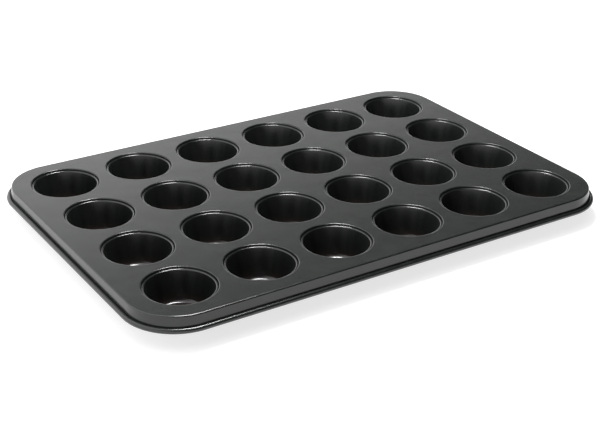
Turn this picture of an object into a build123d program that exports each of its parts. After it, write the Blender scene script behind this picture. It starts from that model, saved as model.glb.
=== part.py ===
from build123d import *
import math
import os

# Muffin tin with 24 cups in four rows of six: a sheet-steel top plate whose skirt is curled
# round a stiffening wire, and 24 drawn cups, each locked into a recess of the plate by a lip
# that is folded over an upturned collar.
#
# Millimetres. +X runs along the rows of six, +Y along the columns of four, +Z up.
# The origin is the middle of the tin on the surface that its cup floors stand on.

# Overall sizes, taken over the rolled rim and from the cup floors to the plate's top face
overall_length = 521.0
overall_width = 356.0
overall_height = 31.0
corner_radius = 52.4

# Cup pattern
cup_columns = 6
cup_rows = 4
cup_pitch = 81.2

# Sheets and the clearance left between two faces that are folded onto each other
plate_thickness = 0.5
cup_thickness = 0.5
seam_clearance = 0.05

# Edge of the top plate: a tight bend, a drafted skirt and a curl round the wire
edge_bend_inside_radius = 1.0
skirt_draft = 6.0
wire_drop = 12.3
wire_diameter = 3.7
curl_turn = 285.0

# Recess that each cup is locked into, and the lip of the cup
recess_bend_inside_radius = 0.3
seat_bend_inside_radius = 0.3
collar_height = 0.6
lip_bend_inside_radius = 0.75
lip_drop = 1.6
lip_to_recess_clearance = 0.2

# Cup, inside sizes
mouth_diameter = 62.0
wall_draft = 13.0
floor_corner_radius = 4.5

# Heights and radii that follow from the sizes above
plate_mid_z = overall_height - plate_thickness / 2
wire_z = overall_height - wire_drop
draft_cos = math.cos(math.radians(wall_draft))
draft_sin = math.sin(math.radians(wall_draft))
lip_mid_radius = lip_bend_inside_radius + cup_thickness / 2
lip_outside_radius = lip_bend_inside_radius + cup_thickness

# The seam centre is the centre of the fold of the lip
seam_radius = mouth_diameter / 2 + lip_outside_radius * draft_cos
seam_z = overall_height - lip_drop - lip_outside_radius
recess_wall_radius = seam_radius + lip_outside_radius + lip_to_recess_clearance
recess_radius = recess_wall_radius + recess_bend_inside_radius + plate_thickness

# The collar stands inside the fold, against the cup wall, and ends level with the seam centre
collar_offset = lip_bend_inside_radius - seam_clearance - plate_thickness / 2
seat_bend_mid_radius = seat_bend_inside_radius + plate_thickness / 2
collar_rise = collar_height * draft_cos + seat_bend_mid_radius * (1 + draft_sin)
seat_mid_z = seam_z + collar_offset * draft_sin - collar_rise


def direction(angle):
    """Unit vector at an angle in degrees in the plane of a section."""
    return Vector(math.cos(math.radians(angle)), math.sin(math.radians(angle)))


def sheet_section(start, heading, thickness, moves):
    """Section of a bent sheet, followed along its mid-line from a start point.

    A move is (length, 0) for a straight run, or (inside radius, turn) for a bend, where
    a positive turn is anticlockwise. Angles are in degrees.
    """
    half = thickness / 2
    position = Vector(*start)
    left_side = []
    right_side = []
    for size, turn in moves:
        if turn == 0:
            travel = direction(heading) * size
            for edges, offset in ((left_side, half), (right_side, -half)):
                corner = position + direction(heading + 90) * offset
                edges.append(Line(corner, corner + travel))
            position = position + travel
            continue
        side = math.copysign(1, turn)
        mid_radius = size + half
        centre = position + direction(heading + 90 * side) * mid_radius
        for edges, offset in ((left_side, half), (right_side, -half)):
            radius = mid_radius - side * offset
            points = []
            for part in (0, 0.5, 1):
                points.append(centre - direction(heading + part * turn + 90 * side) * radius)
            edges.append(ThreePointArc(*points))
        heading = heading + turn
        position = centre - direction(heading + 90 * side) * mid_radius
    end_cap = Line(left_side[-1] @ 1, right_side[-1] @ 1)
    start_cap = Line(left_side[0] @ 0, right_side[0] @ 0)
    return make_face(left_side + right_side + [end_cap, start_cap])


def run_round_corners(section, flat_length, flat_width):
    """Carry an upright section round a rectangle with round corners.

    The section's distance from its own Z axis is its distance from the axis of a corner.
    """
    pieces = []
    for quarter in range(4):
        along, across = (flat_width, flat_length) if quarter % 2 == 0 else (flat_length, flat_width)
        upright = Plane.XZ * section
        side = extrude(upright, amount=along, dir=(0, 1, 0))
        corner = Pos(0, along, 0) * revolve(upright, Axis.Z, 90)
        pieces.append(Rot(0, 0, 90 * quarter) * Pos(across / 2, -along / 2, 0) * (side + corner))
    return pieces[0] + pieces[1:]


def cup_places():
    """Name and centre of every cup, row 1 in front and column 1 on the left."""
    for row in range(cup_rows):
        for column in range(cup_columns):
            x = (column - (cup_columns - 1) / 2) * cup_pitch
            y = (row - (cup_rows - 1) / 2) * cup_pitch
            yield f"cup_r{row + 1}c{column + 1}", x, y


# Edge of the plate, as distances outward from the end of its flat top
skirt_cos = math.cos(math.radians(skirt_draft))
skirt_sin = math.sin(math.radians(skirt_draft))
edge_bend_mid_radius = edge_bend_inside_radius + plate_thickness / 2
curl_inside_radius = wire_diameter / 2 + seam_clearance
curl_mid_radius = curl_inside_radius + plate_thickness / 2
skirt_fall = plate_mid_z - edge_bend_mid_radius * (1 - skirt_sin) + curl_mid_radius * skirt_sin - wire_z
skirt_length = skirt_fall / skirt_cos
wire_reach = (edge_bend_mid_radius + curl_mid_radius) * skirt_cos + skirt_length * skirt_sin
rim_reach = wire_reach + curl_inside_radius + plate_thickness

# Flat top, inside the bend of the edge
flat_corner_radius = corner_radius - rim_reach
straight_length = overall_length - 2 * corner_radius
straight_width = overall_width - 2 * corner_radius


def make_edge():
    """Bend, skirt and curl of the plate, all the way round."""
    section = sheet_section(
        (flat_corner_radius, plate_mid_z),
        0,
        plate_thickness,
        [
            (edge_bend_inside_radius, skirt_draft - 90),
            (skirt_length, 0),
            (curl_inside_radius, curl_turn),
        ],
    )
    return run_round_corners(section, straight_length, straight_width)


def make_recess():
    """Recess for one cup, with the collar that stands up from its seat, centred on the Z axis."""
    collar_foot_radius = seam_radius - collar_offset * draft_cos - collar_height * draft_sin
    seat_end_radius = collar_foot_radius + seat_bend_mid_radius * draft_cos
    wall_mid_radius = recess_wall_radius + plate_thickness / 2
    recess_bend_mid_radius = recess_bend_inside_radius + plate_thickness / 2
    wall_fall = plate_mid_z - seat_mid_z - recess_bend_mid_radius - seat_bend_mid_radius
    seat_length = wall_mid_radius - seat_bend_mid_radius - seat_end_radius
    section = sheet_section(
        (recess_radius, plate_mid_z),
        180,
        plate_thickness,
        [
            (recess_bend_inside_radius, 90),
            (wall_fall, 0),
            (seat_bend_inside_radius, -90),
            (seat_length, 0),
            (seat_bend_inside_radius, -90 - wall_draft),
            (collar_height, 0),
        ],
    )
    return revolve(Plane.XZ * section, Axis.Z)


def make_top_plate():
    """Flat top with 24 recesses and the rolled edge, one pressed sheet."""
    flat = RectangleRounded(
        straight_length + 2 * flat_corner_radius,
        straight_width + 2 * flat_corner_radius,
        flat_corner_radius,
    )
    for name, x, y in cup_places():
        flat -= Pos(x, y) * Circle(recess_radius)
    plate = extrude(Pos(0, 0, overall_height - plate_thickness) * flat, amount=plate_thickness)
    recess = make_recess()
    recesses = [Pos(x, y, 0) * recess for name, x, y in cup_places()]
    return plate + recesses + make_edge()


def make_rim_wire():
    """Stiffening wire inside the curl, one closed ring."""
    section = Pos(flat_corner_radius + wire_reach, wire_z) * Circle(wire_diameter / 2)
    return run_round_corners(section, straight_length, straight_width)


def make_cup():
    """One drawn cup with the lip that folds over the collar, centred on the Z axis."""
    lip_foot_z = seat_mid_z + plate_thickness / 2 + seam_clearance
    lip_fall = seam_z - (lip_mid_radius + cup_thickness / 2) * draft_sin - lip_foot_z
    lip_return = lip_fall / draft_cos
    lip_end_radius = seam_radius + lip_mid_radius * draft_cos - lip_return * draft_sin
    lip_end_z = seam_z - lip_mid_radius * draft_sin - lip_return * draft_cos
    floor_bend_mid_radius = floor_corner_radius + cup_thickness / 2
    wall_top_radius = seam_radius - lip_mid_radius * draft_cos
    wall_top_z = seam_z + lip_mid_radius * draft_sin
    wall_fall = wall_top_z - cup_thickness / 2 - floor_bend_mid_radius * (1 - draft_sin)
    wall_length = wall_fall / draft_cos
    floor_radius = wall_top_radius - wall_length * draft_sin - floor_bend_mid_radius * draft_cos
    section = sheet_section(
        (lip_end_radius, lip_end_z),
        90 - wall_draft,
        cup_thickness,
        [
            (lip_return, 0),
            (lip_bend_inside_radius, 180),
            (wall_length, 0),
            (floor_corner_radius, wall_draft - 90),
            (floor_radius, 0),
        ],
    )
    return revolve(Plane.XZ * section, Axis.Z)


os.makedirs("parts", exist_ok=True)
export_step(make_top_plate(), "parts/top_plate.step")
export_step(make_rim_wire(), "parts/rim_wire.step")
cup = make_cup()
for name, x, y in cup_places():
    export_step(Pos(x, y, 0) * cup, f"parts/{name}.step")
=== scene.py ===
import math
import bmesh
import bpy
from mathutils import Matrix, Vector


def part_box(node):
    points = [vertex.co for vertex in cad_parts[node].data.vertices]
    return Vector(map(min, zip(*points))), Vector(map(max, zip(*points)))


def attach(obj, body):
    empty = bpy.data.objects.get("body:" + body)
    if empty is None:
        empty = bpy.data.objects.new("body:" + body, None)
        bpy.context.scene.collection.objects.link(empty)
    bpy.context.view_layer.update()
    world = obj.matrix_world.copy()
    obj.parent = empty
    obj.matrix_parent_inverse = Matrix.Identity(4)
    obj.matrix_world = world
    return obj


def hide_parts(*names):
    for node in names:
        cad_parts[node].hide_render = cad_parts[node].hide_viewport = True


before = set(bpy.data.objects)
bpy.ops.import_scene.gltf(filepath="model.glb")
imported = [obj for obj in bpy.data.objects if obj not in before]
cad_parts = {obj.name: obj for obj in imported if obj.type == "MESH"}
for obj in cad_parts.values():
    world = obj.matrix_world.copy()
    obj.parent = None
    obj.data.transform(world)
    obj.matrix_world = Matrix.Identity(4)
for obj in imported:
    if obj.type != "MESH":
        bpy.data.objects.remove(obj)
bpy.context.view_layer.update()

MM = 0.001

# ---------------------------------------------------------------- sizes, in millimetres
# Sheets, and the clearance between two faces that are folded onto each other
SHEET = 0.5
SEAM_CLEARANCE = 0.05

# Edge of the top plate: a tight bend, a drafted skirt and a curl round the wire
EDGE_BEND_INSIDE = 1.0
SKIRT_DRAFT = 6.0
WIRE_DROP = 12.3
WIRE_DIAMETER = 3.7
CURL_TURN = 285.0
CORNER_RADIUS = 52.4

# Recess, its collar and the lip of the cup
RECESS_BEND_INSIDE = 0.3
SEAT_BEND_INSIDE = 0.3
COLLAR_HEIGHT = 0.6
LIP_BEND_INSIDE = 0.75
LIP_DROP = 1.6
LIP_TO_RECESS = 0.2

# Cup, inside sizes
MOUTH_RADIUS = 31.0
WALL_DRAFT = 13.0
FLOOR_CORNER = 4.5

# A narrow flat margin beside each bend keeps the wide flat faces level at their borders
FLAT_MARGIN = 0.4

# Steps of the meshes: stations to a quarter turn, and degrees to a step along a bend
EDGE_CORNER_STEPS = 24
CUP_CORNER_STEPS = 20
ARC_STEP = 9.0
RECESS_ARC_STEP = 22.5

# Points closer than this are welded, and edges sharper than this, in degrees, are shaded as edges
WELD = 0.002
SHARP_ANGLE = 35.0

# A border within this share of the sheet from a face's height belongs to the web on that face
LEVEL_SHARE = 0.25

# ---------------------------------------------------------------- looks: tones, finish, marks
# Coating on the plate: its tones, its roughness, and how much the grain adds to the roughness
PLATE_DARK = "#121413"
PLATE_LIGHT = "#181b19"
PLATE_ROUGHNESS = 0.17
PLATE_GRAIN_ROUGHNESS = 0.08
COATING_IOR = 1.5

# Coating in the cups: its dark tone, a lighter tone for streaks down the wall that are painted
# reflection, a warmer one at the floor, its roughness, and what marks add
CUP_DARK = "#0c0e0d"
CUP_DRAW_MARK_AND_SHEEN_TONE = "#171a18"
FLOOR_TINT = "#1c1715"
CUP_ROUGHNESS = 0.19
CUP_MARK_ROUGHNESS = 0.12

# Zinc on the wire: two tones in cloudy spangles, and the range of its roughness
ZINC_DARK = "#6f7173"
ZINC_LIGHT = "#9a9c9d"
ZINC_SMOOTH = 0.3
ZINC_ROUGH = 0.5

# Widths of marks in millimetres. The grain of a rolled-on coat is really about 0.15 mm, too
# fine to show, so it is coarser here. Pressing leaves the sheet wavy and the coat patchy.
COAT_GRAIN = 0.8
COAT_PATCH = 12.0
PRESS_WAVE = 35.0
# The draw marks' width is also the width of the painted reflection streaks in the cups' colour
DRAW_MARK = 14.0
ZINC_SPANGLE = 2.0
ZINC_GRAIN = 0.6

# Heights of marks in millimetres
PRESS_WAVE_HEIGHT = 0.05
PLATE_GRAIN_HEIGHT = 0.012
DRAW_MARK_HEIGHT = 0.15
CUP_GRAIN_HEIGHT = 0.005

# Draw marks, and the painted reflection streaks with them, run down the wall: heights count this
# much, where a way round the mouth counts fully
MARK_HEIGHT_SHARE = 0.04

# Upward part of the normal, from the drawn wall to the flat floor without marks
WALL_UPWARD = 0.4
FLOOR_UPWARD = 0.95

WHITE = "#ffffff"

# Range that most of a noise pattern lies in
NOISE_LOW = 0.3
NOISE_HIGH = 0.7

# ---------------------------------------------------------------- places, from the frame
plate_low, plate_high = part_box("top_plate")
TOP = plate_high.z / MM
STRAIGHT_X = (plate_high.x - plate_low.x) / MM - 2 * CORNER_RADIUS
STRAIGHT_Y = (plate_high.y - plate_low.y) / MM - 2 * CORNER_RADIUS
PLATE_MID = TOP - SHEET / 2


def cup_centres():
    """Name and centre of each cup, from its box in the frame."""
    for node in sorted(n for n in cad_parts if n.startswith("cup_")):
        low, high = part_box(node)
        middle = (low + high) / 2
        yield node, Vector((middle.x, middle.y, 0))


# ---------------------------------------------------------------- node helper
def add(tree, kind, settings=None, **sockets):
    """Add a node with its settings and its inputs, which are values, sockets or other nodes.

    Settings are a dictionary, or the name of the node's operation. An input's name has its
    spaces written as underscores, or is i0, i1 ... for its position. A node given as an input
    stands for its first output.
    """
    node = tree.nodes.new(kind)
    if isinstance(settings, str):
        settings = {"operation": settings}
    for key, value in (settings or {}).items():
        setattr(node, key, value)
    for key, value in sockets.items():
        if key[0] == "i" and key[1:].isdigit():
            socket = node.inputs[int(key[1:])]
        else:
            socket = node.inputs[key.replace("_", " ")]
        if isinstance(value, bpy.types.Node):
            value = value.outputs[0]
        if isinstance(value, bpy.types.NodeSocket):
            tree.links.new(value, socket)
        else:
            socket.default_value = value
    return node


# ---------------------------------------------------------------- profiles of bent sheet
def direction(angle):
    return Vector((math.cos(math.radians(angle)), math.sin(math.radians(angle))))


def sheet_profile(start, heading, moves, closed=False, arc_step=ARC_STEP):
    """Outline of a bent sheet's section: out along one face and back along the other.

    It follows a mid-line from a start point. A move is (length, 0) for a run or
    (inside radius, turn) for a bend, anticlockwise if positive.
    """
    half = SHEET / 2
    position = Vector(start)
    faces = {half: [], -half: []}
    for offset, points in faces.items():
        points.append(position + direction(heading + 90) * offset)
    for size, turn in moves:
        if turn == 0:
            position = position + direction(heading) * size
            for offset, points in faces.items():
                points.append(position + direction(heading + 90) * offset)
            continue
        side = math.copysign(1, turn)
        mid_radius = size + half
        centre = position + direction(heading + 90 * side) * mid_radius
        steps = max(2, math.ceil(abs(turn) / arc_step))
        for step in range(1, steps + 1):
            angle = heading + turn * step / steps + 90 * side
            for offset, points in faces.items():
                points.append(centre - direction(angle) * (mid_radius - side * offset))
        heading += turn
        position = centre - direction(heading + 90 * side) * mid_radius
    outline = faces[half] + faces[-half][::-1]
    if closed:
        outline.append(outline[0])
    return outline


def profile_mesh(name, outline):
    """The outline as a chain of points in the XZ plane, in metres."""
    mesh = bpy.data.meshes.new(name)
    points = [(p.x * MM, 0, p.y * MM) for p in outline]
    mesh.from_pydata(points, [(i, i + 1) for i in range(len(points) - 1)], [])
    return mesh


# ---------------------------------------------------------------- geometry node trees
MATH = "ShaderNodeMath"


def new_tree(name, inputs):
    """An empty geometry tree with its interface and its group input node."""
    tree = bpy.data.node_groups.new(name, "GeometryNodeTree")
    tree.is_modifier = True
    tree.interface.new_socket("Geometry", in_out="INPUT", socket_type="NodeSocketGeometry")
    tree.interface.new_socket("Geometry", in_out="OUTPUT", socket_type="NodeSocketGeometry")
    for label, kind in inputs:
        tree.interface.new_socket(label, in_out="INPUT", socket_type=kind)
    return tree, tree.nodes.new("NodeGroupInput").outputs


def whole_part(tree, value, divisor):
    """How many times the divisor goes into a whole number. The half keeps rounding errors out."""
    shifted = add(tree, MATH, "ADD", i0=value, i1=0.5)
    return add(tree, MATH, "FLOOR", i0=add(tree, MATH, "DIVIDE", i0=shifted, i1=divisor))


def round_corners_tree():
    """Carries an upright profile round a rectangle with round corners, or round a circle.

    The columns of a grid are the stations on the way round, Corner Steps to each quarter, and its
    rows are the points of the profile. A point's distance from the Z axis is its distance from
    the axis of a corner. Straight X and Straight Y are the runs between the corners. The
    attribute "around" keeps the direction from the axis and the height, for the draw marks and
    the painted reflection streaks down the cup walls.
    """
    tree, given = new_tree("sheet_round_corners", [
        ("Straight X", "NodeSocketFloat"),
        ("Straight Y", "NodeSocketFloat"),
        ("Corner Steps", "NodeSocketInt"),
        ("Centre", "NodeSocketVector"),
        ("Finish", "NodeSocketMaterial"),
    ])
    profile, straight_x, straight_y, steps, centre, finish = [given[i] for i in range(6)]
    rows = add(tree, "GeometryNodeAttributeDomainSize", i0=profile).outputs["Point Count"]
    per_corner = add(tree, MATH, "ADD", i0=steps, i1=1.0)
    stations = add(tree, MATH, "MULTIPLY", i0=per_corner, i1=4.0)
    columns = add(tree, MATH, "ADD", i0=stations, i1=1.0)
    grid = add(tree, "GeometryNodeMeshGrid", Vertices_X=columns, Vertices_Y=rows)
    index = add(tree, "GeometryNodeInputIndex")
    column = whole_part(tree, index, rows)
    passed = add(tree, MATH, "MULTIPLY", i0=column, i1=rows)
    row = add(tree, MATH, "SUBTRACT", i0=index, i1=passed)
    station = add(tree, MATH, "FLOORED_MODULO", i0=column, i1=stations)
    corner = whole_part(tree, station, per_corner)
    step = add(tree, MATH, "FLOORED_MODULO", i0=station, i1=per_corner)
    share = add(tree, MATH, "DIVIDE", i0=step, i1=steps)
    quarters = add(tree, MATH, "ADD", i0=corner, i1=share)
    angle = add(tree, MATH, "MULTIPLY", i0=quarters, i1=math.pi / 2)
    diagonal = add(tree, MATH, "MULTIPLY_ADD", i0=corner, i1=math.pi / 2, i2=math.pi / 4)
    place = add(tree, "GeometryNodeInputPosition")
    sample = add(tree, "GeometryNodeSampleIndex", {"data_type": "FLOAT_VECTOR"},
                 Geometry=profile, Value=place, Index=row)
    point = add(tree, "ShaderNodeSeparateXYZ", i0=sample).outputs
    ways = []
    coordinates = []
    for function, straight in (("COSINE", straight_x), ("SINE", straight_y)):
        way = add(tree, MATH, function, i0=angle)
        side = add(tree, MATH, "SIGN", i0=add(tree, MATH, function, i0=diagonal))
        half = add(tree, MATH, "DIVIDE", i0=straight, i1=2.0)
        offset = add(tree, MATH, "MULTIPLY", i0=side, i1=half)
        coordinates.append(add(tree, MATH, "MULTIPLY_ADD", i0=way, i1=point["X"], i2=offset))
        ways.append(way)
    vertex = add(tree, "ShaderNodeCombineXYZ", X=coordinates[0], Y=coordinates[1], Z=point["Z"])
    shifted = add(tree, "ShaderNodeVectorMath", "ADD", i0=vertex, i1=centre)
    placed = add(tree, "GeometryNodeSetPosition", Geometry=grid, Position=shifted)
    around = add(tree, "ShaderNodeCombineXYZ", X=ways[0], Y=ways[1], Z=point["Z"])
    marked = add(tree, "GeometryNodeStoreNamedAttribute", {"data_type": "FLOAT_VECTOR"},
                 Geometry=placed, Name="around", Value=around)
    finish_geometry(tree, marked, finish)
    return tree


def finish_geometry(tree, geometry, finish):
    """End a tree: realize instances, weld, shade smooth and set the material."""
    real = add(tree, "GeometryNodeRealizeInstances", Geometry=geometry)
    welded = add(tree, "GeometryNodeMergeByDistance", Geometry=real, Distance=WELD * MM)
    smooth = add(tree, "GeometryNodeSetShadeSmooth", Geometry=welded)
    painted = add(tree, "GeometryNodeSetMaterial", Geometry=smooth, Material=finish)
    add(tree, "NodeGroupOutput", i0=painted)


def cup_pattern_tree():
    """Repeats one recess on a list of cup centres, joins the edge, and fills the flat web.

    The web is filled between the open borders of the recesses and of the edge, once for the
    top face and once for the underside.
    """
    tree, given = new_tree("pressed_plate", [
        ("Recess", "NodeSocketObject"),
        ("Edge", "NodeSocketObject"),
        ("Top Height", "NodeSocketFloat"),
        ("Sheet", "NodeSocketFloat"),
        ("Finish", "NodeSocketMaterial"),
    ])
    centres, recess, edge, top, sheet, finish = [given[i] for i in range(6)]
    one_recess = add(tree, "GeometryNodeObjectInfo", Object=recess).outputs["Geometry"]
    edge_mesh = add(tree, "GeometryNodeObjectInfo", Object=edge).outputs["Geometry"]
    spread = add(tree, "GeometryNodeInstanceOnPoints", Points=centres, Instance=one_recess)
    recesses = add(tree, "GeometryNodeRealizeInstances", Geometry=spread)
    folded = add(tree, "GeometryNodeJoinGeometry", Geometry=recesses)
    tree.links.new(edge_mesh, folded.inputs[0])
    neighbours = add(tree, "GeometryNodeInputMeshEdgeNeighbors")
    border = add(tree, "FunctionNodeCompare", {"data_type": "INT", "operation": "EQUAL"},
                 i2=neighbours, i3=1)
    position = add(tree, "GeometryNodeInputPosition")
    height = add(tree, "ShaderNodeSeparateXYZ", i0=position).outputs["Z"]
    whole = add(tree, "GeometryNodeJoinGeometry", Geometry=folded)
    reach = add(tree, MATH, "MULTIPLY", i0=sheet, i1=LEVEL_SHARE)
    for level, flip in ((top, False), (add(tree, MATH, "SUBTRACT", i0=top, i1=sheet), True)):
        gap = add(tree, MATH, "ABSOLUTE", i0=add(tree, MATH, "SUBTRACT", i0=height, i1=level))
        near = add(tree, MATH, "LESS_THAN", i0=gap, i1=reach)
        chosen = add(tree, "FunctionNodeBooleanMath", "AND", i0=border, i1=near)
        loops = add(tree, "GeometryNodeMeshToCurve", Mesh=folded, Selection=chosen)
        web = add(tree, "GeometryNodeFillCurve", Curve=loops)
        lift = add(tree, "ShaderNodeCombineXYZ", Z=level)
        raised = add(tree, "GeometryNodeTransform", Geometry=web, Translation=lift)
        if flip:
            raised = add(tree, "GeometryNodeFlipFaces", Mesh=raised)
        tree.links.new(raised.outputs[0], whole.inputs[0])
    finish_geometry(tree, whole, finish)
    return tree


def grow(name, mesh, tree, **values):
    """Run a geometry tree on a mesh and keep the result as a plain mesh object."""
    obj = bpy.data.objects.new(name, mesh)
    bpy.context.scene.collection.objects.link(obj)
    modifier = obj.modifiers.new(tree.name, "NODES")
    modifier.node_group = tree
    identifiers = {item.name.replace(" ", "_"): item.identifier
                   for item in tree.interface.items_tree if item.in_out == "INPUT"}
    for label, value in values.items():
        modifier[identifiers[label]] = value
    depsgraph = bpy.context.evaluated_depsgraph_get()
    grown = bpy.data.meshes.new_from_object(obj.evaluated_get(depsgraph))
    obj.modifiers.remove(modifier)
    obj.data = grown
    grown.name = name
    shell = bmesh.new()
    shell.from_mesh(grown)
    bmesh.ops.recalc_face_normals(shell, faces=shell.faces)
    shell.to_mesh(grown)
    shell.free()
    grown.set_sharp_from_angle(angle=math.radians(SHARP_ANGLE))
    return obj


# ---------------------------------------------------------------- sections of the sheets
skirt_cos = math.cos(math.radians(SKIRT_DRAFT))
skirt_sin = math.sin(math.radians(SKIRT_DRAFT))
edge_bend_mid = EDGE_BEND_INSIDE + SHEET / 2
curl_inside = WIRE_DIAMETER / 2 + SEAM_CLEARANCE
curl_mid = curl_inside + SHEET / 2
skirt_fall = WIRE_DROP - SHEET / 2 - edge_bend_mid * (1 - skirt_sin) + curl_mid * skirt_sin
skirt_length = skirt_fall / skirt_cos
wire_reach = (edge_bend_mid + curl_mid) * skirt_cos + skirt_length * skirt_sin
flat_corner = CORNER_RADIUS - wire_reach - curl_inside - SHEET

draft_cos = math.cos(math.radians(WALL_DRAFT))
draft_sin = math.sin(math.radians(WALL_DRAFT))
lip_mid = LIP_BEND_INSIDE + SHEET / 2
lip_outside = LIP_BEND_INSIDE + SHEET
seam_radius = MOUTH_RADIUS + lip_outside * draft_cos
seam_height = TOP - LIP_DROP - lip_outside
recess_wall = seam_radius + lip_outside + LIP_TO_RECESS
recess_radius = recess_wall + RECESS_BEND_INSIDE + SHEET
collar_offset = LIP_BEND_INSIDE - SEAM_CLEARANCE - SHEET / 2
seat_bend_mid = SEAT_BEND_INSIDE + SHEET / 2
collar_rise = COLLAR_HEIGHT * draft_cos + seat_bend_mid * (1 + draft_sin)
seat_height = seam_height + collar_offset * draft_sin - collar_rise


def edge_profile():
    """Bend, skirt and curl of the plate."""
    return sheet_profile((flat_corner - FLAT_MARGIN, PLATE_MID), 0, [
        (FLAT_MARGIN, 0),
        (EDGE_BEND_INSIDE, SKIRT_DRAFT - 90),
        (skirt_length, 0),
        (curl_inside, CURL_TURN),
    ])


def recess_profile():
    """Recess wall, seat and the collar that stands up from it."""
    collar_foot = seam_radius - collar_offset * draft_cos - COLLAR_HEIGHT * draft_sin
    seat_end = collar_foot + seat_bend_mid * draft_cos
    wall_mid = recess_wall + SHEET / 2
    wall_fall = PLATE_MID - seat_height - RECESS_BEND_INSIDE - SHEET / 2 - seat_bend_mid
    return sheet_profile((recess_radius + FLAT_MARGIN, PLATE_MID), 180, [
        (FLAT_MARGIN, 0),
        (RECESS_BEND_INSIDE, 90),
        (wall_fall, 0),
        (SEAT_BEND_INSIDE, -90),
        (wall_mid - seat_bend_mid - seat_end, 0),
        (SEAT_BEND_INSIDE, -90 - WALL_DRAFT),
        (COLLAR_HEIGHT, 0),
    ], arc_step=RECESS_ARC_STEP)


def cup_profile():
    """Folded lip, tapered wall, rounded floor corner and floor of a cup."""
    lip_foot = seat_height + SHEET / 2 + SEAM_CLEARANCE
    lip_return = (seam_height - (lip_mid + SHEET / 2) * draft_sin - lip_foot) / draft_cos
    start = (seam_radius + lip_mid * draft_cos - lip_return * draft_sin,
             seam_height - lip_mid * draft_sin - lip_return * draft_cos)
    floor_mid = FLOOR_CORNER + SHEET / 2
    wall_fall = seam_height + lip_mid * draft_sin - SHEET / 2 - floor_mid * (1 - draft_sin)
    wall_length = wall_fall / draft_cos
    floor_reach = seam_radius - (lip_mid + floor_mid) * draft_cos - wall_length * draft_sin
    return sheet_profile(start, 90 - WALL_DRAFT, [
        (lip_return, 0),
        (LIP_BEND_INSIDE, 180),
        (FLAT_MARGIN, 0),
        (wall_length - 2 * FLAT_MARGIN, 0),
        (FLAT_MARGIN, 0),
        (FLOOR_CORNER, WALL_DRAFT - 90),
        (FLAT_MARGIN, 0),
        (floor_reach - FLAT_MARGIN, 0),
    ], closed=True)


# ---------------------------------------------------------------- materials
def linear(code):
    """The sRGB hex code of a colour as linear RGBA."""
    values = [int(code[i:i + 2], 16) / 255 for i in (1, 3, 5)]
    return [v / 12.92 if v <= 0.04045 else ((v + 0.055) / 1.055) ** 2.4 for v in values] + [1.0]


def new_material(name, **sockets):
    """A material of one principled shader with its sockets set, its tree and the shader."""
    material = bpy.data.materials.new(name)
    material.use_nodes = True
    tree = material.node_tree
    tree.nodes.clear()
    shader = add(tree, "ShaderNodeBsdfPrincipled", **sockets)
    add(tree, "ShaderNodeOutputMaterial", Surface=shader)
    return material, tree, shader


def mottle(tree, place, size, low, high, detail=2.0):
    """A soft cloudy pattern with marks of a size in millimetres, spread between two values."""
    noise = add(tree, "ShaderNodeTexNoise", Vector=place, Scale=1 / (size * MM), Detail=detail)
    return add(tree, "ShaderNodeMapRange", Value=noise,
               From_Min=NOISE_LOW, From_Max=NOISE_HIGH, To_Min=low, To_Max=high)


def coated_plate():
    """Non-stick coating, rolled on flat steel before pressing: near-black, satin, grained."""
    material, tree, shader = new_material(
        "nonstick_coated_plate", Base_Color=linear(PLATE_DARK), IOR=COATING_IOR)
    place = add(tree, "ShaderNodeTexCoord").outputs["Object"]
    patch = mottle(tree, place, COAT_PATCH, 0.0, 1.0)
    grain = mottle(tree, place, COAT_GRAIN, 0.0, 1.0, detail=3.0)
    tone = add(tree, "ShaderNodeMixRGB", i0=patch, i1=linear(PLATE_DARK), i2=linear(PLATE_LIGHT))
    tree.links.new(tone.outputs[0], shader.inputs["Base Color"])
    rough = add(tree, MATH, "MULTIPLY_ADD",
                i0=grain, i1=PLATE_GRAIN_ROUGHNESS, i2=PLATE_ROUGHNESS)
    tree.links.new(rough.outputs[0], shader.inputs["Roughness"])
    wave = mottle(tree, place, PRESS_WAVE, 0.0, 1.0)
    pressed = add(tree, "ShaderNodeBump", Height=wave, Strength=1.0, Distance=PRESS_WAVE_HEIGHT * MM)
    bump = add(tree, "ShaderNodeBump", Height=grain, Strength=0.5,
               Distance=PLATE_GRAIN_HEIGHT * MM, Normal=pressed)
    tree.links.new(bump.outputs[0], shader.inputs["Normal"])
    return material


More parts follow.
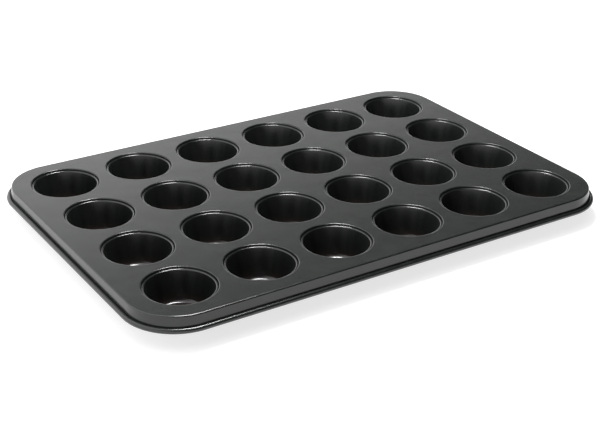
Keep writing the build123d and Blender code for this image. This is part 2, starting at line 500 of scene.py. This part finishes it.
def coated_cup():
    """The same coating after deep drawing: a flatter grain, and marks that run down the wall, which
    are draw marks in the roughness and bump and painted reflection streaks in the colour.
    """
    material, tree, shader = new_material(
        "nonstick_coated_drawn_cup", Base_Color=linear(CUP_DARK), IOR=COATING_IOR)
    around = add(tree, "ShaderNodeAttribute", {"attribute_name": "around"}).outputs["Vector"]
    marks_place = add(tree, "ShaderNodeVectorMath", "MULTIPLY", i0=around,
                      i1=(MOUTH_RADIUS * MM, MOUTH_RADIUS * MM, MARK_HEIGHT_SHARE))
    draw_marks_and_painted_streaks = mottle(tree, marks_place, DRAW_MARK, 0.0, 1.0, detail=1.0)
    place = add(tree, "ShaderNodeTexCoord").outputs["Object"]
    grain = mottle(tree, place, COAT_GRAIN, 0.0, 1.0)
    normal = add(tree, "ShaderNodeNewGeometry").outputs["Normal"]
    upward = add(tree, "ShaderNodeSeparateXYZ", i0=normal).outputs["Z"]
    flat = add(tree, "ShaderNodeMapRange", Value=upward,
               From_Min=WALL_UPWARD, From_Max=FLOOR_UPWARD)
    # Painted reflection: the marks mix in a lighter tone, soft streaks down the wall that stand in
    # for reflections; the same marks are draw marks in roughness and bump
    tone = add(tree, "ShaderNodeMixRGB", i0=draw_marks_and_painted_streaks, i1=linear(CUP_DARK), i2=linear(CUP_DRAW_MARK_AND_SHEEN_TONE))
    height = add(tree, "ShaderNodeSeparateXYZ", i0=around).outputs["Z"]
    near_floor = add(tree, "ShaderNodeMapRange", Value=height,
                     From_Min=2 * FLOOR_CORNER * MM, From_Max=FLOOR_CORNER * MM)
    tinted = add(tree, "ShaderNodeMixRGB", i0=near_floor, i1=tone, i2=linear(FLOOR_TINT))
    tree.links.new(tinted.outputs[0], shader.inputs["Base Color"])
    wall = add(tree, MATH, "SUBTRACT", i0=1.0, i1=flat)
    wall_marks = add(tree, MATH, "MULTIPLY", i0=draw_marks_and_painted_streaks, i1=wall)
    rough = add(tree, MATH, "MULTIPLY_ADD", i0=wall_marks, i1=CUP_MARK_ROUGHNESS, i2=CUP_ROUGHNESS)
    tree.links.new(rough.outputs[0], shader.inputs["Roughness"])
    drawn = add(tree, "ShaderNodeBump", Height=wall_marks, Strength=1.0,
                Distance=DRAW_MARK_HEIGHT * MM)
    bump = add(tree, "ShaderNodeBump", Height=grain, Strength=0.3,
               Distance=CUP_GRAIN_HEIGHT * MM, Normal=drawn)
    tree.links.new(bump.outputs[0], shader.inputs["Normal"])
    return material


def drawn_wire():
    """Galvanised drawn wire: dull zinc grey, in cloudy spangles of two tones."""
    material, tree, shader = new_material("galvanised_drawn_wire", Metallic=1.0)
    place = add(tree, "ShaderNodeTexCoord").outputs["Object"]
    zinc = mottle(tree, place, ZINC_SPANGLE, 0.0, 1.0)
    tone = add(tree, "ShaderNodeMixRGB", i0=zinc, i1=linear(ZINC_DARK), i2=linear(ZINC_LIGHT))
    tree.links.new(tone.outputs[0], shader.inputs["Base Color"])
    rough = mottle(tree, place, ZINC_GRAIN, ZINC_SMOOTH, ZINC_ROUGH)
    tree.links.new(rough.outputs[0], shader.inputs["Roughness"])
    return material


plate_coating = coated_plate()
cup_coating = coated_cup()
wire_zinc = drawn_wire()

# ---------------------------------------------------------------- pieces
round_corners = round_corners_tree()

edge = grow("edge", profile_mesh("edge_profile", edge_profile()), round_corners,
            Straight_X=STRAIGHT_X * MM, Straight_Y=STRAIGHT_Y * MM, Centre=(0, 0, 0),
            Corner_Steps=EDGE_CORNER_STEPS, Finish=plate_coating)
recess = grow("recess", profile_mesh("recess_profile", recess_profile()), round_corners,
              Straight_X=0.0, Straight_Y=0.0, Centre=(0, 0, 0),
              Corner_Steps=CUP_CORNER_STEPS, Finish=plate_coating)
centres = bpy.data.meshes.new("cup_centres")
centres.from_pydata([centre for _, centre in cup_centres()], [], [])
plate = grow("pressed_top_plate", centres, cup_pattern_tree(),
             Recess=recess, Edge=edge, Top_Height=TOP * MM, Sheet=SHEET * MM, Finish=plate_coating)
for helper in (edge, recess):
    bpy.data.objects.remove(helper)
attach(plate, "root")
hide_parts("top_plate")

for node, centre in cup_centres():
    cup = grow("drawn_" + node, profile_mesh(node + "_profile", cup_profile()), round_corners,
               Straight_X=0.0, Straight_Y=0.0, Centre=centre,
               Corner_Steps=CUP_CORNER_STEPS, Finish=cup_coating)
    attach(cup, "root")
    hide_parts(node)

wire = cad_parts["rim_wire"]
wire.data.materials.clear()
wire.data.materials.append(wire_zinc)

# ---------------------------------------------------------------- stage, in metres
# An opal acrylic sheet lit from beneath. It lies just below the cups, so that faces don't fight.
FLOOR_SIDE = 8.0
FLOOR_DROP = 0.05 * MM
ACRYLIC_TONE = "#a8a8a8"
ACRYLIC_GLOW = 0.72
floor_mesh = bpy.data.meshes.new("studio_floor")
half = FLOOR_SIDE / 2
floor_mesh.from_pydata(
    [(x, y, -FLOOR_DROP) for x, y in ((-half, -half), (half, -half), (half, half), (-half, half))],
    [], [(0, 1, 2, 3)])
floor = bpy.data.objects.new("studio_floor", floor_mesh)
bpy.context.scene.collection.objects.link(floor)
floor_paint, _, _ = new_material(
    "lit_white_acrylic", Base_Color=linear(ACRYLIC_TONE), Roughness=0.9,
    Emission_Color=linear(WHITE), Emission_Strength=ACRYLIC_GLOW)
floor_mesh.materials.append(floor_paint)

# A studio with a bright low backdrop that falls off upwards and towards the tin's right end.
# Its glow rises between two values of a direction's dot product with the bright side.
BRIGHT_SIDE = (-0.39, 0.227, -0.89)
DIM_FROM = -0.43
BRIGHT_FROM = -0.27
DIM_GLOW = 0.06
BRIGHT_GLOW = 1.9
world = bpy.data.worlds.new("studio")
bpy.context.scene.world = world
world.use_nodes = True
world.node_tree.nodes.clear()
way = add(world.node_tree, "ShaderNodeTexCoord").outputs["Generated"]
towards = add(world.node_tree, "ShaderNodeVectorMath", "DOT_PRODUCT", i0=way, i1=BRIGHT_SIDE)
glow = add(world.node_tree, "ShaderNodeMapRange", Value=towards.outputs["Value"],
           From_Min=DIM_FROM, From_Max=BRIGHT_FROM, To_Min=DIM_GLOW, To_Max=BRIGHT_GLOW)
backdrop = add(world.node_tree, "ShaderNodeBackground", Color=linear(WHITE), Strength=glow)
add(world.node_tree, "ShaderNodeOutputWorld", Surface=backdrop)
bpy.context.scene.view_settings.view_transform = "Standard"


def softbox(name, place, side, power):
    """A square softbox that faces the origin: its place and side in metres, its power in watts."""
    light = bpy.data.lights.new(name, "AREA")
    light.shape = "SQUARE"
    light.size = side
    light.energy = power
    obj = bpy.data.objects.new(name, light)
    obj.location = place
    obj.rotation_euler = (-Vector(place)).to_track_quat("-Z", "Y").to_euler()
    bpy.context.scene.collection.objects.link(obj)


softbox("key_softbox", (0.05, 0.1, 0.9), side=0.28, power=16.0)
softbox("ceiling_softbox", (-0.4, 0.2, 1.8), side=2.4, power=34.0)

# ---------------------------------------------------------------- camera
# Place in metres, measured up from the plate's top face, and angles in degrees
CAMERA_PLACE = (-0.6409, -0.9810, 0.5417 + TOP * MM)
CAMERA_HEADING = 33.08
CAMERA_DOWN = 26.12
CAMERA_ROLL = 0.906
CAMERA_LENS = 76.97
CAMERA_SENSOR = 36.0
camera_data = bpy.data.cameras.new("camera")
camera_data.lens = CAMERA_LENS
camera_data.sensor_width = CAMERA_SENSOR
camera = bpy.data.objects.new("camera", camera_data)
camera.matrix_world = (
    Matrix.Translation(CAMERA_PLACE)
    @ Matrix.Rotation(math.radians(-CAMERA_HEADING), 4, "Z")
    @ Matrix.Rotation(math.radians(90 - CAMERA_DOWN), 4, "X")
    @ Matrix.Rotation(math.radians(CAMERA_ROLL), 4, "Z")
)
bpy.context.scene.collection.objects.link(camera)
bpy.context.scene.camera = camera
